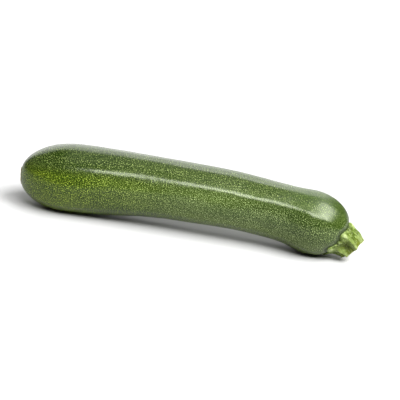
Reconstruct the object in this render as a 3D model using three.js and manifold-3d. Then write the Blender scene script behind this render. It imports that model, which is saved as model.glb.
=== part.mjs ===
// A courgette as picked: the fruit, with the scar that its flower left, and the cut stub of its stem.
// It lies along X with the stem towards +X, on two small flats under its blossom end and its shoulder.

import * as THREE from "three";
import { mergeVertices } from "three/addons/utils/BufferGeometryUtils.js";
import Module from "manifold-3d";

// Centreline in millimetres, a cubic Bezier curve from the blossom tip to the cut end of the stem
const TIP = new THREE.Vector3(0, 0, 16.5);
const TIP_HANDLE = new THREE.Vector3(58.6, 3, 23.9);
const STEM_HANDLE = new THREE.Vector3(183.6, 3, 32.2);
const CUT_END = new THREE.Vector3(205.6, 0, 6.3);

// Fruit: distances along the centreline from the blossom tip, and radii there.
// Both ends are superellipses, a little blunter than an ellipse.
const BLOSSOM_CAP = 32;
const CAP_BLUNTNESS = 2.12;
const SHOULDER_AT = 178;
const SHOULDER_DOME = 21.5;
const DOME_BLUNTNESS = 2.22;
const GIRTH = [
  { at: BLOSSOM_CAP, radius: 20.3 },
  { at: 75, radius: 18.5 },
  { at: 111, radius: 17.6 },
  { at: 146, radius: 16.8 },
  { at: 163, radius: 17.2 },
  { at: SHOULDER_AT, radius: 19.05 },
];
const FLAT_DEPTH = 0.45;

// Blossom scar: a low corky button inside a shallow groove
const SCAR_RADIUS = 5.6;
const SCAR_RISE = 0.5;
const SCAR_DIMPLE = 0.6;
const SCAR_GROOVE = 0.35;

// Ten soft ridges run the length of the fruit, every second one bolder.
// Angles go round the centreline from the -Y side towards the top.
const RIDGES = 10;
const FIRST_RIDGE = THREE.MathUtils.degToRad(34);
const BOLD_RIDGE = 0.034;
const FAINT_RIDGE = 0.022;
const RIDGE_SHARPNESS = 1.6;
const RIDGE_FADE = 26;

// Slow swells that keep the fruit from being perfectly round
const SWELL = 0.012;
const SWELL_LENGTH = 84;

// Stem: five ribs that swell into toes on the shoulder. Radii at distances along the centreline
const STEM = [
  { at: 191.0, radius: 9.6 },
  { at: 194.6, radius: 10.9 },
  { at: 196.2, radius: 11.5 },
  { at: 197.8, radius: 11.7 },
  { at: 199.4, radius: 11.2 },
  { at: 201.0, radius: 10.3 },
  { at: 202.6, radius: 9.4 },
  { at: 204.4, radius: 8.7 },
  { at: 206.5, radius: 8.3 },
  { at: 208.4, radius: 8.2 },
];
const STEM_RIBS = 5;
const RIB_HEIGHT = 0.11;
const TOE_CLEFT = 0.17;
const TOES_END = 199;
const RIBS_START = 204;
const FOOT_LEAN = 0.1;
const FOOT_LEAN_TO = THREE.MathUtils.degToRad(-60);
const CUT_BEVEL = 0.6;
const CUT_HOLLOW = 0.7;
const SEAT_GAP = 0.3;

// Fineness of the faceted surfaces
const FRUIT_SIDES = 70;
const STEM_SIDES = 60;
const CAP_RINGS = 12;
const MIDDLE_RINGS = 24;
const DOME_RINGS = 12;

const centreline = new THREE.CubicBezierCurve3(TIP, TIP_HANDLE, STEM_HANDLE, CUT_END);
const centrelineLength = centreline.getLength();
const upwards = new THREE.Vector3(0, 0, 1);

// The point at a distance along the centreline, an angle round it and a radius out from it.
function around(distance, angle, radius) {
  const share = THREE.MathUtils.clamp(distance / centrelineLength, 0, 1);
  const along = centreline.getTangentAt(share);
  const far = new THREE.Vector3().crossVectors(upwards, along).normalize();
  const up = new THREE.Vector3().crossVectors(along, far);
  return centreline
    .getPointAt(share)
    .addScaledVector(along, distance - share * centrelineLength)
    .addScaledVector(far, -radius * Math.cos(angle))
    .addScaledVector(up, radius * Math.sin(angle));
}

// A smooth radius between stations, level at the first and the last.
function radiusBetween(stations, distance) {
  const last = stations.length - 1;
  const slope = (i) =>
    i === 0 || i === last
      ? 0
      : (stations[i + 1].radius - stations[i - 1].radius) / (stations[i + 1].at - stations[i - 1].at);
  const next = Math.max(1, stations.findIndex((station, i) => i === last || station.at >= distance));
  const a = stations[next - 1];
  const b = stations[next];
  const span = b.at - a.at;
  const t = THREE.MathUtils.clamp((distance - a.at) / span, 0, 1);
  return (
    a.radius * (1 + 2 * t) * (1 - t) ** 2 +
    b.radius * t * t * (3 - 2 * t) +
    span * slope(next - 1) * t * (1 - t) ** 2 +
    span * slope(next) * t * t * (t - 1)
  );
}

// How far the ridges lift the fruit's skin, as a share of its radius.
function ridgeLift(distance, angle) {
  const fade = THREE.MathUtils.smoothstep(distance, 0, RIDGE_FADE);
  const turn = angle - FIRST_RIDGE;
  const crest = Math.exp(RIDGE_SHARPNESS * (Math.cos(RIDGES * turn) - 1));
  const bold = 0.5 + 0.5 * Math.cos((RIDGES / 2) * turn);
  return fade * crest * THREE.MathUtils.lerp(FAINT_RIDGE, BOLD_RIDGE, bold);
}

// A gentle unevenness round and along the fruit, as a share of its radius.
function swell(distance, angle) {
  const wave = (2 * Math.PI * distance) / SWELL_LENGTH;
  return SWELL * (0.6 * Math.sin(2 * angle + wave) + 0.4 * Math.sin(3 * angle - 1.7 * wave));
}

// One coordinate of a superellipse, from the sine or cosine of the sweep along it.
function superellipse(part, bluntness) {
  return Math.max(part, 0) ** (2 / bluntness);
}

// The fruit's outline from the blossom tip to the top of the dome under the stem, as distances and radii.
function fruitOutline() {
  const outline = [];
  const [first] = GIRTH;
  for (let i = 1; i <= CAP_RINGS; i++) {
    const sweep = ((i / CAP_RINGS) * Math.PI) / 2;
    const distance = BLOSSOM_CAP * (1 - superellipse(Math.cos(sweep), CAP_BLUNTNESS));
    outline.push({ distance, radius: first.radius * superellipse(Math.sin(sweep), CAP_BLUNTNESS) });
  }
  for (let i = 1; i < MIDDLE_RINGS; i++) {
    const distance = THREE.MathUtils.lerp(BLOSSOM_CAP, SHOULDER_AT, i / MIDDLE_RINGS);
    outline.push({ distance, radius: radiusBetween(GIRTH, distance) });
  }
  const shoulder = GIRTH[GIRTH.length - 1];
  for (let i = 0; i < DOME_RINGS; i++) {
    const sweep = ((i / DOME_RINGS) * Math.PI) / 2;
    const distance = SHOULDER_AT + SHOULDER_DOME * superellipse(Math.sin(sweep), DOME_BLUNTNESS);
    outline.push({ distance, radius: shoulder.radius * superellipse(Math.cos(sweep), DOME_BLUNTNESS) });
  }
  return outline.filter(({ radius }) => radius > SCAR_RADIUS * 1.15);
}

// The scar's rings, from its dimple out to the groove round it.
function scarOutline() {
  const share = (SCAR_RADIUS / GIRTH[0].radius) ** CAP_BLUNTNESS;
  const rim = BLOSSOM_CAP * (1 - (1 - share) ** (1 / CAP_BLUNTNESS));
  return [
    { distance: rim - SCAR_RISE + SCAR_DIMPLE * 0.7, radius: SCAR_RADIUS * 0.2 },
    { distance: rim - SCAR_RISE - 0.1, radius: SCAR_RADIUS * 0.5 },
    { distance: rim - SCAR_RISE + 0.1, radius: SCAR_RADIUS * 0.85 },
    { distance: rim, radius: SCAR_RADIUS * 0.98 },
    { distance: rim + SCAR_GROOVE, radius: SCAR_RADIUS * 1.05 },
  ];
}

// A closed surface through rings of points, with a point at the middle of each end.
function loft(rings, startPoint, endPoint) {
  const sides = rings[0].length;
  const points = [...rings.flat(), startPoint, endPoint];
  const triangles = [];
  const startAt = points.length - 2;
  const lastRing = (rings.length - 1) * sides;
  for (let j = 0; j < sides; j++) {
    const k = (j + 1) % sides;
    triangles.push(startAt, j, k);
    triangles.push(startAt + 1, lastRing + k, lastRing + j);
    for (let ring = 0; ring < lastRing; ring += sides) {
      triangles.push(ring + j, ring + sides + j, ring + k);
      triangles.push(ring + k, ring + sides + j, ring + sides + k);
    }
  }
  const geometry = new THREE.BufferGeometry().setFromPoints(points);
  return geometry.setIndex(triangles);
}

// One ring of points, its radius varied round the centreline.
function ringOf(sides, distance, radiusAt) {
  return Array.from({ length: sides }, (_, j) => {
    const angle = FIRST_RIDGE + (2 * Math.PI * j) / sides;
    return around(distance, angle, radiusAt(angle));
  });
}

// The fruit's surface, grown outwards where a neighbour needs room.
function fruitSurface(growth = 0) {
  const rings = [...scarOutline(), ...fruitOutline()].map(({ distance, radius }) => {
    const domeShare = Math.max(0, distance - SHOULDER_AT) / SHOULDER_DOME;
    const radiusAt = (angle) => radius * (1 + ridgeLift(distance, angle) + swell(distance, angle)) + growth;
    return ringOf(FRUIT_SIDES, distance + growth * domeShare, radiusAt);
  });
  const dimple = scarOutline()[0].distance + SCAR_DIMPLE * 0.3;
  return loft(rings, around(dimple, 0, 0), around(SHOULDER_AT + SHOULDER_DOME + growth, 0, 0));
}

// The stem's ribs, as a share of its radius: at the foot round toes with clefts between, further on waves.
// The foot reaches furthest on the underside.
function ribLift(distance, angle) {
  const crest = Math.cos(STEM_RIBS * (angle - FIRST_RIDGE));
  const lean = FOOT_LEAN * Math.cos(angle - FOOT_LEAN_TO);
  const toe = lean - TOE_CLEFT * Math.exp(-1.3 * (1 + crest));
  const blend = THREE.MathUtils.smoothstep(distance, TOES_END, RIBS_START);
  return THREE.MathUtils.lerp(toe, RIB_HEIGHT * crest, blend);
}

// The stem's surface, from inside the shoulder to its cut end.
function stemSurface() {
  const cut = STEM[STEM.length - 1];
  const stations = [
    ...STEM,
    { at: centrelineLength - CUT_BEVEL * 0.3, radius: cut.radius - CUT_BEVEL * 0.3 },
    { at: centrelineLength, radius: cut.radius - CUT_BEVEL },
    { at: centrelineLength - CUT_HOLLOW * 0.6, radius: cut.radius * 0.6 },
  ];
  const rings = stations.map(({ at, radius }) =>
    ringOf(STEM_SIDES, at, (angle) => radius * (1 + ribLift(at, angle))),
  );
  return loft(rings, around(STEM[0].at, 0, 0), around(centrelineLength - CUT_HOLLOW, 0, 0));
}

const wasm = await Module();
wasm.setup();

// A closed surface as a solid that can be cut.
function solidOf(geometry) {
  geometry.deleteAttribute("normal");
  geometry.deleteAttribute("uv");
  const merged = mergeVertices(geometry);
  return new wasm.Manifold(
    new wasm.Mesh({
      numProp: 3,
      vertProperties: merged.attributes.position.array,
      triVerts: new Uint32Array(merged.index.array),
    }),
  );
}

// A solid as a surface with its own normals.
function surfaceOf(solid) {
  const { numProp, vertProperties, triVerts } = solid.getMesh();
  const points = new THREE.InterleavedBuffer(vertProperties, numProp);
  const geometry = new THREE.BufferGeometry();
  geometry.setAttribute("position", new THREE.InterleavedBufferAttribute(points, 3, 0));
  geometry.setIndex(new THREE.BufferAttribute(triVerts, 1));
  geometry.computeVertexNormals();
  return geometry;
}

// The fruit, cut flat where it lies.
function makeFruit() {
  const whole = fruitSurface();
  whole.computeBoundingBox();
  const { min, max } = whole.boundingBox;
  const table = new THREE.BoxGeometry(2 * max.x, 4 * max.y, 2 * FLAT_DEPTH);
  table.translate(max.x / 2, 0, min.z);
  const solid = solidOf(whole).subtract(solidOf(table));
  const skin = new THREE.MeshStandardMaterial({ color: 0x4a7426, roughness: 0.36, metalness: 0 });
  const fruit = new THREE.Mesh(surfaceOf(solid), skin);
  fruit.name = "fruit";
  return fruit;
}

// The stem, its foot shaped to the shoulder that it sits on.
function makeStem() {
  const solid = solidOf(stemSurface()).subtract(solidOf(fruitSurface(SEAT_GAP)));
  const bark = new THREE.MeshStandardMaterial({ color: 0x93a84c, roughness: 0.62, metalness: 0 });
  const stem = new THREE.Mesh(surfaceOf(solid), bark);
  stem.name = "stem";
  return stem;
}

const courgette = new THREE.Group();
courgette.add(makeFruit(), makeStem());

// The origin is on the table, under the middle of the whole courgette.
const box = new THREE.Box3().setFromObject(courgette);
const middle = box.getCenter(new THREE.Vector3());
courgette.position.set(-middle.x, -middle.y, -box.min.z);

export default courgette;
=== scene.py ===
"""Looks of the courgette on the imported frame: fine fruit and stem meshes, their materials and a studio."""

import math

import bpy
import numpy as np
from mathutils import Matrix, Vector, noise


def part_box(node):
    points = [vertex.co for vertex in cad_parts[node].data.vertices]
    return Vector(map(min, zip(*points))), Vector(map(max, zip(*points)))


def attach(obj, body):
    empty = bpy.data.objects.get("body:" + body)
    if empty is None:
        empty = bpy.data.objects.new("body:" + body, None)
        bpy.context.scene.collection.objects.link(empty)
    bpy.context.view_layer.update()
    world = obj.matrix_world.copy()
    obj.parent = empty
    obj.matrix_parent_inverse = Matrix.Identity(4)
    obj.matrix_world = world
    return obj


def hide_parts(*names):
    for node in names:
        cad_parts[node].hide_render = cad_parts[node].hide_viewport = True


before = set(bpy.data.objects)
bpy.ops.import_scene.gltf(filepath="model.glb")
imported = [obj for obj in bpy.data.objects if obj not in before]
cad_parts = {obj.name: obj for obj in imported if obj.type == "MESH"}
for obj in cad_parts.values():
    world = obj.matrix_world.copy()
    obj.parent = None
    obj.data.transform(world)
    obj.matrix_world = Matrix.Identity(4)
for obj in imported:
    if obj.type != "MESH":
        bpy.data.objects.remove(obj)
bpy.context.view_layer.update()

MM = 0.001

# Centreline in millimetres, a cubic Bezier curve from the blossom tip to the cut end of the stem
CENTRELINE = np.array([(0, 0, 16.5), (58.6, 3, 23.9), (183.6, 3, 32.2), (205.6, 0, 6.3)])

# Fruit: distances along the centreline and radii there, with superellipses for its ends
BLOSSOM_CAP = 32.0
CAP_BLUNTNESS = 2.12
SHOULDER_AT = 178.0
SHOULDER_DOME = 21.5
DOME_BLUNTNESS = 2.22
GIRTH_AT = np.array([BLOSSOM_CAP, 75, 111, 146, 163, SHOULDER_AT])
GIRTH_RADIUS = np.array([20.3, 18.5, 17.6, 16.8, 17.2, 19.05])
FLAT_DEPTH = 0.45
FLAT_EDGE = 0.03

# Ridges and slow swells of the fruit, with heights as shares of its radius
RIDGES = 10
FIRST_RIDGE = math.radians(34)
BOLD_RIDGE = 0.021
FAINT_RIDGE = 0.017
RIDGE_SHARPNESS = 0.6
RIDGE_FADE = 26.0
RIDGE_EASE = 0.5
EASE_AT = 82.0
EASE_LENGTH = 20.0
TWIST_AT = np.array([0.0, 43, 78, 123, 160, 180])
TWIST = np.radians([2.0, 0.0, 0.5, -2.5, -2.0, -4.0])
WAVER = 0.012
WAVER_LENGTH = 7.1
WAVER_START = (20, 60)
SWELL = 0.012
SWELL_LENGTH = 84.0

# Crests of the ridges as the skin's material sees them
CREST_START = (10, 50)
FAINT_CREST = 0.4

# Low unevenness of the skin: heights and sizes of its lumps
BROAD_LUMP = 0.16
BROAD_LUMP_SIZE = 11
FINE_LUMP = 0.05
FINE_LUMP_SIZE = 3.6

# Blossom scar: levels are distances along the centreline, and widths are shares of its radius
SCAR_RADIUS = 5.6
SCAR_EDGE = (0.90, 1.05)
SCAR_LOBES = 5
LOBE_HEIGHT = 0.05
LOBE_TURN = 0.6
RAGGED_HEIGHT = 0.07
RAGGED_SIZE = 3.2
SCAR_LEVEL = 0.42
SCAR_EDGE_FALL = 0.25
DIMPLE_DEPTH = 0.6
DIMPLE_WIDTH = 0.2
SCAR_LUMP = 0.16
SCAR_LUMP_SIZE = 1.6
SCAR_RAYS = 9
RAY_HEIGHT = 0.05
RAY_START = (0.2, 0.7)
GROOVE_DEPTH = 0.30
GROOVE_AT = 1.06
GROOVE_WIDTH = 0.10
TIP_LENGTH = 12
RIDGES_FROM_SCAR = (0.9, 2.5)
LUMPS_FROM_SCAR = (1.0, 2.0)

# Stem: distances along the centreline and radii there, and its seat on the fruit's dome
STEM_AT = np.array([190.0, 192, 194, 196, 198, 200, 202, 204, 206, 208.4, 212])
STEM_RADIUS = np.array([15.4, 14.7, 13.8, 12.7, 11.4, 10.3, 9.4, 8.7, 8.2, 7.8, 7.8])
SEAT_AT = SHOULDER_AT + 17
SEAT_GAP = 0.3
SEAT_PASSES = 40
FOOT_LEAN = 0.08
FOOT_LEAN_TO = math.radians(-50)

# Ribs of the stem and the toes that they end in, with heights as shares of its radius
RIBS_AT = np.radians([-86.0, -27, 25, 84, 168, 274, 333])
RIB_HEIGHT = 0.16
RIB_SINK = 1.1
RIB_SHARPNESS = 1.5
RIB_START = (198, 203.5)
RIB_CREST_SHARPNESS = 1.2
TOE_CLEFT = 0.15
CLEFT_SHARPNESS = 1.1
CLEFT_FILL = 0.08
FILL_SHARPNESS = 5.0

# Knuckles on the toes and between them, the tucked edge of the foot and a hollow between two ribs:
# heights and lengths in millimetres, and how far they are above the foot
KNUCKLE = 0.8
KNUCKLE_ABOVE = 2.5
KNUCKLE_LENGTH = 2.1
KNUCKLE_SHARPNESS = 3.5
SMALL_KNUCKLE = 0.55
SMALL_KNUCKLE_ABOVE = 1.9
SMALL_KNUCKLE_LENGTH = 1.5
FOOT_TUCK = 0.9
FOOT_TUCK_LENGTH = 0.7
HOLLOW_AT = math.radians(-3)
HOLLOW_DEPTH = 1.5
HOLLOW_ABOVE = 6.5
HOLLOW_LENGTH = 3.2
HOLLOW_SHARPNESS = 16.0

# Cut end of the stem: stretches are shares of the way from its edge to its middle
CUT_SLANT = 2.2
CUT_HIGH = math.radians(-96)
CUT_START = (0.0, 0.06)
BEVEL_DEPTH = 0.35
BEVEL_STRETCH = (0.0, 0.05)
DISH_DEPTH = 0.75
DISH_STRETCH = (0.12, 0.75)
CUT_LUMP = 0.16
CUT_LUMP_SIZE = 1.1

# Relief of the stem's side: stretches are shares of the way from its foot to its cut end
STEM_RELIEF = 0.5
RELIEF_START = (0, 0.08)
STEM_LUMP = 0.5
STEM_LUMP_SIZE = 2.4
STEM_FIBRE = 0.7
STEM_FIBRE_SIZE = 1.0
DRY_START = (0.55, 1.0)

# Collar of skin round the stem's foot
COLLAR_FROM = SHOULDER_AT + 6
COLLAR_WIDTH = 1.0
COLLAR_DEPTH = 0.35

# Fineness of the meshes, the angle where their rings start, and the tube that they are unrolled from
FRUIT_SIDES = 300
SCAR_RINGS = np.concatenate([[0.25], np.arange(0.6, 8.01, 0.28)])
CAP_RINGS_FROM = 8.2
CAP_RINGS = 26
MIDDLE_RINGS = 140
DOME_RINGS = 34
DOME_RINGS_TO = 0.97
STEM_SIDES = 300
UNDER_RINGS = np.linspace(0.02, 0.98, 24)
SIDE_RINGS = np.concatenate([np.linspace(0, 0.25, 22), np.linspace(0.25, 1, 60)[1:]])
END_RINGS = np.concatenate([[0.985, 0.96, 0.92], np.linspace(0.88, 0.03, 26)])
UNDERSIDE = math.radians(-92)
WRAP_RADIUS = 18.0

# Lumps that don't change along the piece, or that are drawn out along it
ACROSS = (0, 1, 1)
LONG_LUMPS = (0.6, 1, 1)
LONG_STEM_LUMPS = (0.5, 1, 1)
LONG_STEM_FIBRES = (0.25, 1, 1)

# Colours of the skin
DEEP_GREEN = (0.018, 0.044, 0.0003, 1)
MID_GREEN = (0.029, 0.060, 0.0006, 1)
BLOSSOM_GREEN = (0.013, 0.034, 0.0002, 1)
STEM_END_GREEN = (0.009, 0.026, 0.0003, 1)
# Painted shade: a darker green for the top of the fruit
TOP_SHADE_GREEN = (0.008, 0.021, 0.0003, 1)
# Painted sheen: a paler green on top of the shoulder, where a broad reflection falls
SHOULDER_SHEEN = (0.036, 0.080, 0.006, 1)
# Painted light: a paler green on the belly, for light reflected up from the floor
BELLY_FLOOR_LIGHT = (0.076, 0.114, 0.016, 1)
# Painted shade: the dark green in the crease round the stem's foot
COLLAR_SHADE = (0.008, 0.017, 0.001, 1)
GRAIN_SHADE = (0.5, 0.5, 0.45, 1)
STREAK_SHADE = (0.82, 0.82, 0.75, 1)
FLECK = (0.500, 0.640, 0.240, 1)
BLOSSOM_FLECK = (0.490, 0.660, 0.060, 1)
# Painted shade: darker flecks for the top of the fruit
TOP_SHADE_FLECK = (0.390, 0.500, 0.150, 1)
SKIN_GLINT = (0.93, 1.0, 0.78, 1)

# Colours of the scar
DARK_CORK = (0.44, 0.32, 0.18, 1)
PALE_CORK = (0.76, 0.65, 0.43, 1)
GREEN_CORK = (0.70, 0.65, 0.34, 1)
DIMPLE_BROWN = (0.16, 0.08, 0.045, 1)
RIM_BROWN = (0.05, 0.055, 0.012, 1)

# Colours of the stem
# Grooves: the stem's own green, darkened partly with painted shade
DARK_GROOVE_SHADE = (0.050, 0.086, 0.002, 1)
PALE_GROOVE_SHADE = (0.092, 0.135, 0.004, 1)
DRY_GROOVE = (0.12, 0.14, 0.006, 1)
# Ribs: the stem's own paler green, partly painted light
DARK_RIB = (0.105, 0.160, 0.016, 1)
PALE_RIB = (0.225, 0.300, 0.072, 1)
DRY_RIB = (0.36, 0.41, 0.16, 1)
# Painted shade: the dark hollow between two ribs
HOLLOW_SHADE = (0.058, 0.072, 0.001, 1)
# Painted highlight: the pale green on the knuckles of the toes
KNUCKLE_HIGHLIGHT = (0.58, 0.66, 0.33, 1)
PALE_SPOT = (0.62, 0.68, 0.38, 1)
HAIR_SHADE = (0.46, 0.50, 0.38, 1)
OUTER_FLESH = (0.46, 0.48, 0.22, 1)
INNER_FLESH = (0.30, 0.26, 0.11, 1)
FIBRE_SHADE = (0.55, 0.53, 0.42, 1)

# Colours of the floor
FLOOR_DARK = (0.46, 0.46, 0.46, 1)
FLOOR_PALE = (0.48, 0.48, 0.48, 1)

# Where the skin's look changes, in millimetres along the fruit
BLOSSOM_END = (15.0, 120.0)
STEM_END = (95.0, 185.0)
# Where the painted shade on top ends, towards the stem
SHADED_TOP_END = (140.0, 175.0)
# Where the painted sheen on the shoulder lies
SHOULDER_START = (150.0, 175.0)
SHOULDER_END = (178.0, 190.0)
# Where the painted floor light on the belly lies, towards both ends
FLOOR_LIT_BELLY_END = (30.0, 60.0)
FLOOR_LIT_BELLY_START = (75.0, 110.0)
QUIET_START = (105.0, 160.0)
FAINT_START = (145.0, 175.0)
BLOOM_START = (150.0, 172.0)

# Where the skin's look changes, in millimetres above the centreline
BELLY = (-12.0, -2.0)
LOWER_SIDE = (4.0, 12.0)
# Height where the painted shade on top begins
SHADED_TOP = (4.0, 14.0)
SHOULDER_TOP = (7.0, 12.0)
TOP_FLECKS = (6.0, 13.0)
SPARSE_FLECKS = (11.8, 12.4)
FAINT_FLECKS = (4.0, 13.0)
FAINTER_FLECKS = (14.5, 17.5)
QUIET_TOP = (7.0, 13.0)
BLOOM_TOP = (9.0, 13.0)

# Where the scar's look changes, counted from 0.5 at its edge to 1.5 in its middle
SCAR_MIDDLE = 1.5
RIM_START = (0.38, 0.48)
CORK_START = (0.47, 0.57)
RIM_END = (0.50, 0.58)
GREEN_CORK_END = (0.60, 0.85)
DIMPLE_START = (1.24, 1.38)

# Gloss: roughness, as a pair where it varies, and strength of the reflections
SKIN_ROUGHNESS = (0.18, 0.24)
BLOOM_ROUGHNESS = 0.11
FLECK_ROUGHNESS = 0.05
CORK_ROUGHNESS = 0.8
COLLAR_ROUGHNESS = 0.5
STEM_ROUGHNESS = (0.36, 0.58)
FLOOR_ROUGHNESS = (0.85, 0.95)
SKIN_SPECULAR = 0.4
STEM_SPECULAR = 0.28

# Bumps: depth in metres and strength, and heights as shares of the depth
SKIN_BUMP = 0.3 * MM
SKIN_BUMP_STRENGTH = 0.4
PEEL_HEIGHT = 0.7
FLECK_HEIGHT = 0.1
CORK_HEIGHT = 4.0
STEM_BUMP = 0.5 * MM
STEM_BUMP_STRENGTH = 0.5
FIBRE_HEIGHT = 1.5
HAIR_HEIGHT = 0.6

# Studio in metres and watts: each light's place, the point that it faces, its width, height and power
SURROUNDINGS = 0.06
LIGHTS = {
    "softbox_key": ((0.76, -1.44, 1.90), (0, 0, 0.02), 2.1, 0.90, 99),
    "softbox_back": ((-0.45, 1.8, 1.05), (-0.1, 0, 0.5), 2.5, 2.0, 31),
    "softbox_strip": ((0.55, 1.31, 1.52), (0.55, 0, 0.03), 1.4, 0.62, 6.1),
    "softbox_right": ((0.98, -0.28, 1.62), (0.07, 0, 0.02), 1.1, 1.0, 48),
    "panel_top": ((0.55, 0.55, 2.10), (0.55, 0.551, 0.0), 2.4, 2.1, 12),
}
FLOOR_REACH = 4
FLOOR_DROP = 0.02 * MM

# Camera: film width and lens in millimetres, its height and roll as angles, the rest in metres
FILM_WIDTH = 36
LENS = 135
CAMERA_RISE = math.radians(18)
CAMERA_ROLL = math.radians(10.2)
CAMERA_DISTANCE = 0.9
CAMERA_AIM = Vector((0, 0, 0.020))
CAMERA_ASIDE = 2.8 * MM


def smooth(value, low, high):
    """0 below low, 1 above high and a smooth step between."""
    share = np.clip((value - low) / (high - low), 0, 1)
    return share * share * (3 - 2 * share)


def bell(value, middle, width):
    """1 at the middle, falling smoothly to nearly 0 two widths from it."""
    return np.exp(-(((value - middle) / width) ** 2))


def through(stations, values, at):
    """A smooth curve through the values at the stations, level at both ends."""
    slopes = np.zeros(len(values))
    slopes[1:-1] = (values[2:] - values[:-2]) / (stations[2:] - stations[:-2])
    i = np.clip(np.searchsorted(stations, at) - 1, 0, len(stations) - 2)
    span = stations[i + 1] - stations[i]
    t = np.clip((at - stations[i]) / span, 0, 1)
    ends = values[i] * (1 + 2 * t) * (1 - t) ** 2 + values[i + 1] * t * t * (3 - 2 * t)
    return ends + span * (slopes[i] * t * (1 - t) ** 2 + slopes[i + 1] * t * t * (t - 1))


def lumps(points, size, seed):
    """Smooth noise from -1 to 1 at points in millimetres, with lumps of about that size."""
    shift = Vector((seed * 7.3, seed * 3.1, seed * 5.7))
    flat = points.reshape(-1, 3) / size
    values = [noise.noise(Vector(point) + shift) for point in flat]
    return np.array(values).reshape(points.shape[:-1])


def sampled_centreline(samples=4001):
    """Distance, place and direction at samples along the centreline."""
    t = np.linspace(0, 1, samples)[:, None]
    a, b, c, d = CENTRELINE
    places = (1 - t) ** 3 * a + 3 * (1 - t) ** 2 * t * b + 3 * (1 - t) * t**2 * c + t**3 * d
    ways = (1 - t) ** 2 * (b - a) + 2 * (1 - t) * t * (c - b) + t**2 * (d - c)
    steps = np.linalg.norm(np.diff(places, axis=0), axis=1)
    return np.concatenate([[0], np.cumsum(steps)]), places, ways


LINE_AT, LINE_PLACES, LINE_WAYS = sampled_centreline()
LINE_LENGTH = LINE_AT[-1]


def around(distance, angle, radius):
    """Points at distances along the centreline, angles round it and radii out from it."""
    on_line = np.clip(distance, 0, LINE_LENGTH)
    place = np.stack([np.interp(on_line, LINE_AT, LINE_PLACES[:, k]) for k in range(3)], -1)
    along = np.stack([np.interp(on_line, LINE_AT, LINE_WAYS[:, k]) for k in range(3)], -1)
    along /= np.linalg.norm(along, axis=-1, keepdims=True)
    far = np.cross([0.0, 0.0, 1.0], along)
    far /= np.linalg.norm(far, axis=-1, keepdims=True)
    up = np.cross(along, far)
    place = place + along * (distance - on_line)[..., None]
    return place - far * (radius * np.cos(angle))[..., None] + up * (radius * np.sin(angle))[..., None]


def on_centreline(distance):
    """The point at a distance along the centreline."""
    return around(np.float64(distance), 0.0, np.float64(0))


def straightened(distance, angle, radius):
    """The same points on a fruit with no bend: where the skin's pattern is drawn."""
    return np.stack([distance, -radius * np.cos(angle), radius * np.sin(angle)], -1)


def ring_angles(sides):
    """Angles of a ring's points, from the underside all the way round."""
    return UNDERSIDE + 2 * math.pi * np.arange(sides) / sides


def crest_at(distance, angle):
    """How near a point is to a ridge's crest, and how bold that ridge is, both from 0 to 1."""
    waver = WAVER * np.sin(distance / WAVER_LENGTH) * smooth(distance, *WAVER_START)
    turn = angle - FIRST_RIDGE - through(TWIST_AT, TWIST, distance) + waver
    crest = np.exp(RIDGE_SHARPNESS * (np.cos(RIDGES * turn) - 1))
    return crest, 0.5 + 0.5 * np.cos(RIDGES / 2 * turn)


def skin_lift(distance, angle):
    """Ridges and slow swells, as a share of the fruit's radius."""
    crest, bold = crest_at(distance, angle)
    height = smooth(distance, 0, RIDGE_FADE) * (1 - RIDGE_EASE * bell(distance, EASE_AT, EASE_LENGTH))
    ridge = height * crest * (FAINT_RIDGE + (BOLD_RIDGE - FAINT_RIDGE) * bold)
    wave = 2 * math.pi * distance / SWELL_LENGTH
    return ridge + SWELL * (0.6 * np.sin(2 * angle + wave) + 0.4 * np.sin(3 * angle - 1.7 * wave))


def cap_distance(radius):
    """Where the blossom cap has that radius."""
    share = np.clip(radius / GIRTH_RADIUS[0], 0, 1) ** CAP_BLUNTNESS
    return BLOSSOM_CAP * (1 - (1 - share) ** (1 / CAP_BLUNTNESS))


def fruit_rings():
    """Distances and radii of the fruit's rings: over the scar, the cap and the middle, and up the dome."""
    cap_start = math.asin((CAP_RINGS_FROM / GIRTH_RADIUS[0]) ** (CAP_BLUNTNESS / 2))
    cap = np.linspace(cap_start, math.pi / 2, CAP_RINGS)
    middle = np.linspace(BLOSSOM_CAP, SHOULDER_AT, MIDDLE_RINGS)[1:-1]
    dome = np.linspace(0, DOME_RINGS_TO, DOME_RINGS) * math.pi / 2
    distance = np.concatenate([
        cap_distance(SCAR_RINGS),
        BLOSSOM_CAP * (1 - np.clip(np.cos(cap), 0, 1) ** (2 / CAP_BLUNTNESS)),
        middle,
        SHOULDER_AT + SHOULDER_DOME * np.sin(dome) ** (2 / DOME_BLUNTNESS),
    ])
    radius = np.concatenate([
        SCAR_RINGS,
        GIRTH_RADIUS[0] * np.sin(cap) ** (2 / CAP_BLUNTNESS),
        through(GIRTH_AT, GIRTH_RADIUS, middle),
        GIRTH_RADIUS[-1] * np.cos(dome) ** (2 / DOME_BLUNTNESS),
    ])
    return distance, radius


def scar_reach(angle, radius, straight):
    """Radii as shares of the scar's radius, which is lobed and ragged."""
    lobes = LOBE_HEIGHT * np.cos(SCAR_LOBES * angle + LOBE_TURN)
    ragged = RAGGED_HEIGHT * lumps(straight * ACROSS, RAGGED_SIZE, seed=3)
    return radius / (SCAR_RADIUS * (1 + lobes + ragged))


def scarred(distance, angle, reach, straight):
    """Distances on the tip, flattened to a button with a worn edge, a dimple and a groove round it."""
    button = SCAR_LEVEL + SCAR_EDGE_FALL * reach**3 + DIMPLE_DEPTH * bell(reach, 0, DIMPLE_WIDTH)
    button += SCAR_LUMP * lumps(straight * ACROSS, SCAR_LUMP_SIZE, seed=4)
    button += RAY_HEIGHT * np.cos(SCAR_RAYS * angle) * smooth(reach, *RAY_START)
    skin = distance + GROOVE_DEPTH * bell(reach, GROOVE_AT, GROOVE_WIDTH)
    return button + (skin - button) * smooth(reach, *SCAR_EDGE)


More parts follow.
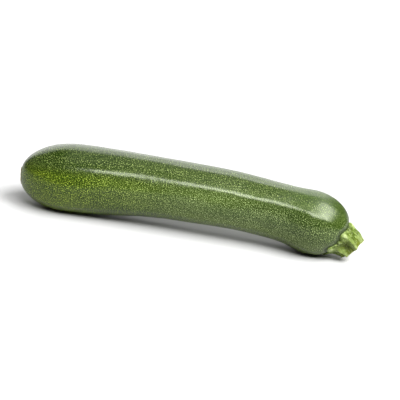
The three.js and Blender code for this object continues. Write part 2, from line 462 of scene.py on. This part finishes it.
def fruit_grid():
    """Distances, angles and radii of the fruit's rings, and where the scar and the collar are on them."""
    distance, radius = fruit_rings()
    distance, angle = np.meshgrid(distance, ring_angles(FRUIT_SIDES), indexing="ij")
    radius = np.repeat(radius[:, None], FRUIT_SIDES, 1)
    straight = straightened(distance, angle, radius)
    lift = skin_lift(distance, angle)
    uneven = BROAD_LUMP * lumps(straight * LONG_LUMPS, BROAD_LUMP_SIZE, seed=1)
    uneven += FINE_LUMP * lumps(straight, FINE_LUMP_SIZE, seed=2)

    reach = scar_reach(angle, radius, straight)
    on_tip = distance < TIP_LENGTH
    distance = np.where(on_tip, scarred(distance, angle, reach, straight), distance)
    scar = np.where(on_tip, np.clip(SCAR_MIDDLE - reach, 0, SCAR_MIDDLE), 0)
    radius = radius * (1 + lift * smooth(reach, *RIDGES_FROM_SCAR))
    radius += uneven * smooth(reach, *LUMPS_FROM_SCAR)

    # The skin dips into a collar where the stem's foot sits on it, darkened there with painted shade.
    _, foot_radius = foot_edge(angle[0])
    collar = bell(radius, foot_radius, COLLAR_WIDTH) * (distance > COLLAR_FROM)
    return distance - COLLAR_DEPTH * collar, angle, radius, scar, collar


def rib_phase(angle):
    """Phase of the stem's five ribs, which stand closer together on the near side."""
    return 2 * math.pi * np.interp(angle, RIBS_AT, np.arange(len(RIBS_AT)))


def near(phase, sharpness):
    """1 where a phase is a whole number of turns, falling halfway between: nearly to 0 if it is sharp."""
    return np.exp(sharpness * (np.cos(phase) - 1))


def stem_lift(distance, angle):
    """The stem's ribs, as a share of its radius: toes with clefts between at the foot, ribs further on."""
    phase = rib_phase(angle)
    between = phase + math.pi
    toe = FOOT_LEAN * np.cos(angle - FOOT_LEAN_TO) - TOE_CLEFT * near(between, CLEFT_SHARPNESS)
    toe += CLEFT_FILL * near(between, FILL_SHARPNESS)
    rib = RIB_HEIGHT * (2 * near(phase, RIB_SHARPNESS) - RIB_SINK)
    return toe + (rib - toe) * smooth(distance, *RIB_START)


def dome_distance(radius, angle):
    """Where the dome under the stem has that radius."""
    full = GIRTH_RADIUS[-1] * (1 + skin_lift(np.full_like(radius, SEAT_AT), angle))
    share = np.clip(radius / full, 0, 1) ** DOME_BLUNTNESS
    return SHOULDER_AT + SHOULDER_DOME * (1 - share) ** (1 / DOME_BLUNTNESS)


def side_radius(distance, angle):
    """The stem's radius, before its knuckles, hollow and relief."""
    return through(STEM_AT, STEM_RADIUS, distance) * (1 + stem_lift(distance, angle))


def foot_edge(angle):
    """Distance along the centreline and radius where the stem's side comes out of the dome."""
    edge = np.full_like(angle, SEAT_AT)
    for _ in range(SEAT_PASSES):
        edge = 0.5 * edge + 0.5 * (dome_distance(side_radius(edge, angle), angle) + SEAT_GAP)
    return edge, side_radius(edge, angle)


def knuckles(above, angle):
    """Swellings low on the stem's side: large ones on its toes and small ones between."""
    phase = rib_phase(angle)
    large = bell(above, KNUCKLE_ABOVE, KNUCKLE_LENGTH) * near(phase, KNUCKLE_SHARPNESS)
    small = bell(above, SMALL_KNUCKLE_ABOVE, SMALL_KNUCKLE_LENGTH) * near(phase + math.pi, KNUCKLE_SHARPNESS)
    return large + SMALL_KNUCKLE * small


def stem_grid():
    """Distances, angles and radii of the stem's rings, and what its material needs to know at each point."""
    turn = ring_angles(STEM_SIDES)
    under, up, inward = (rings[:, None] for rings in (UNDER_RINGS, SIDE_RINGS, END_RINGS))

    def stacked(on_foot, on_side, on_end):
        """Values under the foot, up the side and over the cut end, as one grid."""
        values = ((on_foot, under), (on_side, up), (on_end, inward))
        return np.concatenate([value + np.zeros((len(rings), STEM_SIDES)) for value, rings in values])

    foot, _ = foot_edge(turn)
    cut_lean = np.cos(turn - CUT_HIGH)
    side_end = LINE_LENGTH - BEVEL_DEPTH + CUT_SLANT * 0.5 * (cut_lean - 1)
    side_at = foot + (side_end - foot) * up
    above = side_at - foot
    knuckle = knuckles(above, turn)
    hollow = bell(above, HOLLOW_ABOVE, HOLLOW_LENGTH) * near(turn - HOLLOW_AT, HOLLOW_SHARPNESS)
    side = side_radius(side_at, turn + 0 * side_at) + KNUCKLE * knuckle - HOLLOW_DEPTH * hollow
    side -= FOOT_TUCK * bell(above, 0, FOOT_TUCK_LENGTH)

    under_radius = under * side[0]
    under_at = dome_distance(under_radius, turn + 0 * under_radius) + SEAT_GAP

    core = 1 - inward
    end_at = LINE_LENGTH - BEVEL_DEPTH + BEVEL_DEPTH * smooth(core, *BEVEL_STRETCH)
    end_at = end_at - DISH_DEPTH * smooth(core, *DISH_STRETCH) + CUT_SLANT * 0.5 * (inward * cut_lean - 1)

    distance = stacked(under_at, side_at, end_at)
    radius = stacked(under_radius, side, side[-1] * inward)
    angle = stacked(turn, turn, turn)
    straight = straightened(distance, angle, radius)
    relief = STEM_LUMP * lumps(straight * LONG_STEM_LUMPS, STEM_LUMP_SIZE, seed=5)
    relief += STEM_FIBRE * lumps(straight * LONG_STEM_FIBRES, STEM_FIBRE_SIZE, seed=6)
    cut = stacked(0, 0, smooth(core, *CUT_START))
    radius += STEM_RELIEF * relief * stacked(0, smooth(up, *RELIEF_START), 0)
    distance += CUT_LUMP * cut * lumps(straight * ACROSS, CUT_LUMP_SIZE, seed=7)
    return distance, angle, radius, {
        "knuckle": stacked(0, knuckle, 0),
        "relief": relief,
        "hollow": stacked(0, hollow, 0),
        "dry": stacked(0, smooth(up, *DRY_START), 1),
        "cut": cut,
        "core": stacked(0, 0, core),
    }


def unrolled(points, corners):
    """Places on a tube of one girth, unrolled, for the corners of a mesh through rings of points."""
    rings, sides = points.shape[:2]
    girth = 2 * math.pi * WRAP_RADIUS
    j = np.arange(sides)
    round_tube = np.concatenate([
        np.stack([j, j, j + 1, j + 1], -1)[None].repeat(rings - 1, 0).ravel(),
        np.stack([j + 0.5, j, j + 1], -1).ravel(),
        np.stack([j + 0.5, j + 1, j], -1).ravel(),
    ])
    steps = np.linalg.norm(np.diff(points, axis=0), axis=-1).mean(1)
    stretch = girth / np.linalg.norm(points - np.roll(points, 1, 1), axis=-1).sum(1)
    along_rings = np.concatenate([[0], np.cumsum(steps * (stretch[1:] + stretch[:-1]) / 2)])
    along_tube = np.concatenate([along_rings.repeat(sides), along_rings[[0, -1]]])[corners]
    return np.stack([along_tube, round_tube * (girth / sides), 0 * along_tube], -1)


def add_values(mesh, name, values, domain):
    """Puts numbers or vectors, one a row, on a mesh's points or corners under a name."""
    kind, field = ("FLOAT_VECTOR", "vector") if values.shape[-1] == 3 else ("FLOAT", "value")
    layer = mesh.attributes.new(name, kind, domain)
    layer.data.foreach_set(field, values.astype(np.float32).ravel())


def closed_mesh(name, points, start, end, attributes):
    """A closed mesh through rings of points in millimetres, with a point at the middle of each end."""
    rings, sides = points.shape[:2]
    vertices = np.concatenate([points.reshape(-1, 3), [start, end]]) * MM
    j = np.arange(sides)
    k = (j + 1) % sides
    row = np.arange(rings - 1)[:, None] * sides
    quads = np.stack([row + j, row + sides + j, row + sides + k, row + k], -1).reshape(-1, 4)
    first, last = rings * sides, (rings - 1) * sides
    fans = np.concatenate([
        np.stack([np.full(sides, first), j, k], -1),
        np.stack([np.full(sides, first + 1), last + k, last + j], -1),
    ])
    mesh = bpy.data.meshes.new(name)
    mesh.from_pydata(vertices.tolist(), [], quads.tolist() + fans.tolist())
    mesh.polygons.foreach_set("use_smooth", [True] * len(mesh.polygons))
    add_values(mesh, "wrap", unrolled(points, np.concatenate([quads.ravel(), fans.ravel()])), "CORNER")
    for attribute, values in attributes.items():
        flat = values.reshape(rings * sides, -1)
        add_values(mesh, attribute, np.concatenate([flat, flat[:1], flat[-1:]]), "POINT")
    mesh.update()
    piece = bpy.data.objects.new(name, mesh)
    bpy.context.scene.collection.objects.link(piece)
    return piece


def make_fruit():
    """The fruit, pressed flat where it lies, and the shift that puts it in the frame."""
    distance, angle, radius, scar, collar = fruit_grid()
    points = around(distance, angle, radius)
    low, high = (np.array(corner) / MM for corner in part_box("fruit"))
    middle = (points.min((0, 1)) + points.max((0, 1))) / 2
    table = points[..., 2].min() + FLAT_DEPTH
    shift = np.array([low[0] - points[..., 0].min(), (low[1] + high[1]) / 2 - middle[1], -table])
    points = points + shift
    points[..., 2] = 0.5 * (points[..., 2] + np.sqrt(points[..., 2] ** 2 + FLAT_EDGE**2))
    start = on_centreline(distance[0].mean()) + shift
    end = on_centreline(SHOULDER_AT + SHOULDER_DOME) + shift
    crest, bold = crest_at(distance, angle)
    fruit = closed_mesh("courgette_fruit", points, start, end, {
        "straight": straightened(distance, angle, radius),
        "crest": crest * (FAINT_CREST + (1 - FAINT_CREST) * bold) * smooth(distance, *CREST_START),
        "scar": scar,
        "collar": collar,
    })
    return fruit, shift


def make_stem(shift):
    """The stub of stem on the fruit's shoulder."""
    distance, angle, radius, marks = stem_grid()
    points = around(distance, angle, radius) + shift
    start = on_centreline(SHOULDER_AT + SHOULDER_DOME + SEAT_GAP) + shift
    end = on_centreline(distance[-1].mean()) + shift
    return closed_mesh("courgette_stem", points, start, end, {
        "straight": straightened(distance, angle, radius),
        "crest": near(rib_phase(angle), RIB_CREST_SHARPNESS),
        **marks,
    })


class Graph:
    """A material's node tree, built from short calls that take sockets or plain values."""

    def __init__(self, name):
        self.material = bpy.data.materials.new(name)
        self.material.use_nodes = True
        self.nodes = self.material.node_tree.nodes
        self.links = self.material.node_tree.links
        self.shader = self.nodes["Principled BSDF"]

    def put(self, socket, value):
        """Links a socket to another, or sets its value."""
        if isinstance(value, bpy.types.NodeSocket):
            self.links.new(value, socket)
        else:
            socket.default_value = value

    def add(self, kind, inputs, output=0, **settings):
        """One output of a new node."""
        node = self.nodes.new(kind)
        for key, value in settings.items():
            setattr(node, key, value)
        for key, value in inputs.items():
            self.put(node.inputs[key], value)
        return node.outputs[output]

    def attribute(self, name, output="Fac"):
        """A value or vector that the mesh carries."""
        return self.add("ShaderNodeAttribute", {}, output, attribute_name=name)

    def math(self, operation, first, *others):
        """The values joined by the operation, from left to right."""
        for other in others:
            first = self.add("ShaderNodeMath", {0: first, 1: other}, operation=operation)
        return first

    def product(self, *values):
        """The values multiplied together."""
        return self.math("MULTIPLY", *values)

    def total(self, *values):
        """The values added together."""
        return self.math("ADD", *values)

    def step(self, value, low, high, at_low=0.0, at_high=1.0):
        """A smooth step between two values, level below low and above high."""
        inputs = {"Value": value, "From Min": low, "From Max": high, "To Min": at_low, "To Max": at_high}
        return self.add("ShaderNodeMapRange", inputs, interpolation_type="SMOOTHSTEP")

    def fall(self, value, low, high, to=0.0):
        """A smooth step down from 1."""
        return self.step(value, low, high, 1.0, to)

    def scaled(self, vector, scale):
        """The vector, multiplied by a scale for each direction."""
        return self.add("ShaderNodeVectorMath", {0: vector, 1: scale}, operation="MULTIPLY")

    def noise(self, vector, scale, detail, roughness=0.5, output="Fac"):
        """Cloudy noise, with a scale for each direction."""
        vector = self.scaled(vector, scale)
        inputs = {"Vector": vector, "Scale": 1.0, "Detail": detail, "Roughness": roughness}
        return self.add("ShaderNodeTexNoise", inputs, output)

    def cells(self, vector, output="Distance"):
        """Random cells on the unrolled skin: distance from a cell's middle, or a colour for each cell."""
        inputs = {"Vector": vector, "Scale": 1.0, "Randomness": 0.85}
        return self.add("ShaderNodeTexVoronoi", inputs, output, voronoi_dimensions="2D")

    def flecks(self, vector, scale, smallest, largest, density):
        """Soft spots of random strength, one to a cell, with sizes between two shares of the cell."""
        vector = self.scaled(vector, scale)
        chance = self.cells(vector, "Color")
        size = self.add("ShaderNodeSeparateColor", {0: chance}, "Red")
        strength = self.add("ShaderNodeSeparateColor", {0: chance}, "Green")
        edge = self.product(self.step(size, 0.0, 1.0, smallest, largest), density)
        spot = self.step(self.math("SUBTRACT", edge, self.cells(vector)), 0.0, 0.08)
        return self.product(spot, self.step(strength, 0.1, 1.0, at_low=0.5))

    def mix(self, factor, a, b, blend="MIX"):
        """Colour a where the factor is 0, and b where it is 1."""
        node = self.nodes.new("ShaderNodeMix")
        node.data_type = "RGBA"
        node.blend_type = blend
        self.put(node.inputs[0], factor)
        self.put(node.inputs[6], a)
        self.put(node.inputs[7], b)
        return node.outputs[2]

    def tinted(self, colour, tint, where, strength):
        """The colour, turned towards a tint by a strength where the mask is 1."""
        return self.mix(self.product(where, strength), colour, tint)

    def shaded(self, colour, shade, pattern, low, high):
        """The colour, multiplied by a shade where the pattern is low."""
        return self.mix(self.step(pattern, low, high), self.mix(1.0, colour, shade, "MULTIPLY"), colour)

    def surface(self, colour, roughness, specular):
        """Sets the shader's colour, its roughness and the strength of its reflections."""
        self.put(self.shader.inputs["Base Color"], colour)
        self.put(self.shader.inputs["Roughness"], roughness)
        self.shader.inputs["Specular IOR Level"].default_value = specular

    def bumps(self, height, strength, depth):
        """Gives the shader bumps of a depth in metres."""
        inputs = {"Height": height, "Strength": strength, "Distance": depth}
        self.put(self.shader.inputs["Normal"], self.add("ShaderNodeBump", inputs))


def skin_green(g, straight, along, above, blossom_end, stem_end):
    """The skin under its flecks: deeper green at its ends, darker on top with painted shade, paler on top of
    its shoulder with a painted sheen and on its belly with painted light from the floor.
    """
    patches = g.noise(straight, (0.022, 0.075, 0.075), detail=3.0)
    green = g.mix(g.step(patches, 0.32, 0.68), DEEP_GREEN, MID_GREEN)
    green = g.tinted(green, BLOSSOM_GREEN, blossom_end, strength=0.8)
    low_stem_end = g.product(stem_end, g.fall(above, *LOWER_SIDE))
    green = g.tinted(green, STEM_END_GREEN, low_stem_end, strength=0.6)
    # Painted shade: the top is darkened
    top = g.product(g.step(above, *SHADED_TOP), g.fall(along, *SHADED_TOP_END))
    green = g.tinted(green, TOP_SHADE_GREEN, top, strength=0.45)
    # Painted sheen on top of the shoulder
    shoulder = g.product(g.step(along, *SHOULDER_START), g.fall(along, *SHOULDER_END))
    green = g.tinted(green, SHOULDER_SHEEN, g.product(shoulder, g.step(above, *SHOULDER_TOP)), strength=0.3)
    # Painted light from the floor on the belly, towards both ends
    belly_ends = g.math("MAXIMUM", g.step(along, *FLOOR_LIT_BELLY_START), g.fall(along, *FLOOR_LIT_BELLY_END))
    green = g.tinted(green, BELLY_FLOOR_LIGHT, g.product(g.fall(above, *BELLY), belly_ends), strength=0.6)

    grain = g.noise(g.attribute("wrap", "Vector"), (1.7, 2.4, 1.0), detail=2.0, roughness=0.7)
    green = g.shaded(green, GRAIN_SHADE, grain, 0.38, 0.62)
    streaks = g.noise(straight, (0.018, 0.5, 0.5), detail=3.0)
    return g.shaded(green, STREAK_SHADE, streaks, 0.35, 0.65)


def skin_flecks(g, straight, above, blossom_end, stem_end):
    """How much of a pale fleck each point is: large and small ones, sparser on top, fainter on ridges."""
    wrap = g.attribute("wrap", "Vector")
    ragged = g.scaled(g.noise(wrap, (2.4, 2.4, 2.4), detail=1.0, output="Color"), (0.5, 0.5, 0.0))
    wrap = g.add("ShaderNodeVectorMath", {0: wrap, 1: ragged}, operation="ADD")
    crowding = g.noise(straight, (0.05, 0.16, 0.16), detail=2.0)
    density = g.product(
        g.step(crowding, 0.3, 0.7, at_low=0.96, at_high=1.08),
        g.fall(blossom_end, 0.0, 1.0, to=0.94),
        g.fall(stem_end, 0.0, 1.0, to=0.96),
    )
    large = g.flecks(wrap, (1.14, 1.26, 1.0), smallest=0.17, largest=0.27, density=density)
    small = g.flecks(wrap, (2.60, 3.30, 1.0), smallest=0.10, largest=0.38, density=density)
    sparse = g.flecks(wrap, (1.00, 0.88, 1.0), smallest=0.15, largest=0.27, density=density)
    large = g.mix(g.step(above, *SPARSE_FLECKS), large, sparse)
    flecks = g.math("MAXIMUM", large, g.product(small, 0.35))
    return g.product(flecks, g.fall(g.attribute("crest"), 0.0, 1.0, to=0.8))


def flecked(g, green, flecks, along, above, blossom_end):
    """The green with its flecks, which fade towards the top and the shoulder."""
    colour = g.mix(blossom_end, FLECK, BLOSSOM_FLECK)
    # Painted shade: flecks on top take a darker colour
    colour = g.mix(g.step(above, *TOP_FLECKS), colour, TOP_SHADE_FLECK)
    quiet = g.product(g.step(along, *QUIET_START), g.step(above, *QUIET_TOP))
    fade = g.product(
        g.fall(above, *FAINT_FLECKS, to=0.8),
        g.fall(above, *FAINTER_FLECKS, to=0.65),
        g.fall(quiet, 0.0, 1.0, to=0.92),
        g.fall(along, *FAINT_START, to=0.85),
    )
    return g.mix(g.product(flecks, fade), green, colour)


def corky(g, colour, grain, inside, scar):
    """The colour with the scar on it: pale cork, greener at its edge, with a brown dimple and a dark rim."""
    cork = g.mix(g.step(grain, 0.32, 0.62), DARK_CORK, PALE_CORK)
    cork = g.tinted(cork, GREEN_CORK, g.fall(inside, *GREEN_CORK_END), strength=0.7)
    cork = g.tinted(cork, DIMPLE_BROWN, g.step(inside, *DIMPLE_START), strength=0.85)
    rim = g.product(g.step(inside, *RIM_START), g.fall(inside, *RIM_END))
    return g.tinted(g.mix(scar, colour, cork), RIM_BROWN, rim, strength=0.7)


def skin_material():
    """Waxy green skin with pale flecks, and the corky blossom scar."""
    g = Graph("courgette_skin")
    straight = g.attribute("straight", "Vector")
    along = g.add("ShaderNodeSeparateXYZ", {0: straight}, "X")
    above = g.add("ShaderNodeSeparateXYZ", {0: straight}, "Z")
    blossom_end = g.fall(along, *BLOSSOM_END)
    stem_end = g.step(along, *STEM_END)
    collar = g.attribute("collar")
    inside = g.attribute("scar")
    scar = g.step(inside, *CORK_START)

    green = skin_green(g, straight, along, above, blossom_end, stem_end)
    flecks = skin_flecks(g, straight, above, blossom_end, stem_end)
    colour = flecked(g, green, flecks, along, above, blossom_end)
    # Painted shade in the crease round the stem's foot
    colour = g.tinted(colour, COLLAR_SHADE, collar, strength=0.85)
    cork_grain = g.noise(straight, (0.0, 0.9, 0.9), detail=5.0, roughness=0.62)
    colour = corky(g, colour, cork_grain, inside, scar)

    smears = g.noise(straight, (0.03, 0.2, 0.2), detail=4.0)
    bloom = g.product(g.step(along, *BLOOM_START), g.step(above, *BLOOM_TOP), BLOOM_ROUGHNESS)
    wax = g.total(g.step(smears, 0.3, 0.7, *SKIN_ROUGHNESS), bloom, g.product(flecks, FLECK_ROUGHNESS))
    dull = g.math("MAXIMUM", g.product(scar, CORK_ROUGHNESS), g.product(collar, COLLAR_ROUGHNESS))
    g.surface(colour, g.math("MAXIMUM", wax, dull), SKIN_SPECULAR)
    g.shader.inputs["Specular Tint"].default_value = SKIN_GLINT

    peel = g.noise(straight, (0.35, 0.5, 0.5), detail=3.0)
    height = g.total(g.product(peel, PEEL_HEIGHT), g.product(flecks, FLECK_HEIGHT))
    height = g.total(height, g.product(cork_grain, scar, CORK_HEIGHT))
    g.bumps(height, SKIN_BUMP_STRENGTH, SKIN_BUMP)
    return g.material


def stem_material():
    """Green stem with fine lengthwise lines, grooves darkened partly with painted shade, a hollow of painted
    shade, knuckles with painted highlights on its toes and a dry cut end.
    """
    g = Graph("courgette_stem")
    straight = g.attribute("straight", "Vector")
    dry_end = g.attribute("dry")
    cut = g.attribute("cut")

    lines = g.noise(straight, (0.12, 1.5, 1.5), detail=4.0, roughness=0.6)
    patches = g.noise(straight, (0.35, 0.35, 0.35), detail=3.0)
    groove = g.mix(g.step(patches, 0.35, 0.65), DARK_GROOVE_SHADE, PALE_GROOVE_SHADE)
    groove = g.tinted(groove, DRY_GROOVE, dry_end, strength=0.6)
    rib = g.mix(g.step(lines, 0.35, 0.65), DARK_RIB, PALE_RIB)
    rib = g.tinted(rib, DRY_RIB, dry_end, strength=0.45)
    rise = g.total(g.attribute("crest"), g.product(g.attribute("relief"), 0.85))
    # Ribs paler than grooves: partly the stem's own colour, partly painted light on the ribs and painted
    # shade in the grooves
    colour = g.mix(g.step(rise, 0.02, 0.62), groove, rib)
    # Painted shade in the hollow between two ribs
    colour = g.tinted(colour, HOLLOW_SHADE, g.attribute("hollow"), strength=0.75)
    # Painted highlight on the knuckles
    colour = g.tinted(colour, KNUCKLE_HIGHLIGHT, g.step(g.attribute("knuckle"), 0.2, 1.0), strength=0.6)
    spots = g.noise(straight, (0.9, 1.2, 1.2), detail=3.0, roughness=0.6)
    colour = g.tinted(colour, PALE_SPOT, g.step(spots, 0.55, 0.68), strength=0.3)
    hairs = g.noise(straight, (0.45, 2.6, 2.6), detail=3.0, roughness=0.65)
    colour = g.shaded(colour, HAIR_SHADE, hairs, 0.36, 0.58)

    fibres = g.noise(straight, (0.0, 1.4, 1.4), detail=5.0, roughness=0.65)
    flesh = g.mix(g.step(g.attribute("core"), 0.15, 0.85), OUTER_FLESH, INNER_FLESH)
    flesh = g.shaded(flesh, FIBRE_SHADE, fibres, 0.40, 0.60)
    colour = g.mix(cut, colour, flesh)

    g.surface(colour, g.step(lines, 0.3, 0.7, *STEM_ROUGHNESS), STEM_SPECULAR)
    height = g.total(lines, g.product(fibres, cut, FIBRE_HEIGHT), g.product(hairs, HAIR_HEIGHT))
    g.bumps(height, STEM_BUMP_STRENGTH, STEM_BUMP)
    return g.material


def floor_material():
    """Plain white paper, with the faintest mottle."""
    g = Graph("studio_floor")
    mottle = g.noise(g.add("ShaderNodeTexCoord", {}, "Object"), (60.0, 60.0, 60.0), detail=3.0)
    g.put(g.shader.inputs["Base Color"], g.mix(mottle, FLOOR_DARK, FLOOR_PALE))
    g.put(g.shader.inputs["Roughness"], g.step(mottle, 0.3, 0.7, *FLOOR_ROUGHNESS))
    return g.material


def make_floor():
    """A wide sheet under the courgette, which fills the picture."""
    mesh = bpy.data.meshes.new("floor")
    corners = [(x * FLOOR_REACH, y * FLOOR_REACH, 0) for x, y in ((-1, -1), (1, -1), (1, 1), (-1, 1))]
    mesh.from_pydata(corners, [], [(0, 1, 2, 3)])
    floor = bpy.data.objects.new("floor", mesh)
    floor.location.z = -FLOOR_DROP
    bpy.context.scene.collection.objects.link(floor)
    floor.data.materials.append(floor_material())


def add_light(name, place, aim, width, height, power):
    """A rectangular light at a place, facing a point."""
    light = bpy.data.lights.new(name, "AREA")
    light.shape = "RECTANGLE"
    light.size = width
    light.size_y = height
    light.energy = power
    lamp = bpy.data.objects.new(name, light)
    lamp.location = place
    lamp.rotation_mode = "QUATERNION"
    lamp.rotation_quaternion = (Vector(aim) - Vector(place)).to_track_quat("-Z", "Y")
    bpy.context.scene.collection.objects.link(lamp)


def light_studio():
    """White surroundings, four softboxes and a faint panel overhead."""
    world = bpy.data.worlds.new("studio")
    world.use_nodes = True
    world.node_tree.nodes["Background"].inputs["Color"].default_value = (1.0, 1.0, 1.0, 1)
    world.node_tree.nodes["Background"].inputs["Strength"].default_value = SURROUNDINGS
    bpy.context.scene.world = world
    for name, settings in LIGHTS.items():
        add_light(name, *settings)


def place_camera():
    """The photograph's view: from the side, a little above, the courgette sloping down to its stem."""
    camera = bpy.data.objects.new("camera", bpy.data.cameras.new("camera"))
    camera.data.sensor_width = FILM_WIDTH
    camera.data.lens = LENS
    back = Vector((0, -math.cos(CAMERA_RISE), math.sin(CAMERA_RISE)))
    turn = back.to_track_quat("Z", "Y").to_matrix().to_4x4() @ Matrix.Rotation(CAMERA_ROLL, 4, "Z")
    aside = turn.to_3x3() @ Vector((CAMERA_ASIDE, 0, 0))
    camera.matrix_world = Matrix.Translation(CAMERA_AIM + back * CAMERA_DISTANCE + aside) @ turn
    bpy.context.scene.collection.objects.link(camera)
    bpy.context.scene.camera = camera


fruit, shift = make_fruit()
fruit.data.materials.append(skin_material())
stem = make_stem(shift)
stem.data.materials.append(stem_material())
for piece, node, slot in ((fruit, "fruit", "skin"), (stem, "stem", "stem")):
    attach(piece, "root")
    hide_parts(node)

make_floor()
light_studio()
place_camera()
bpy.context.scene.view_settings.view_transform = "Standard"
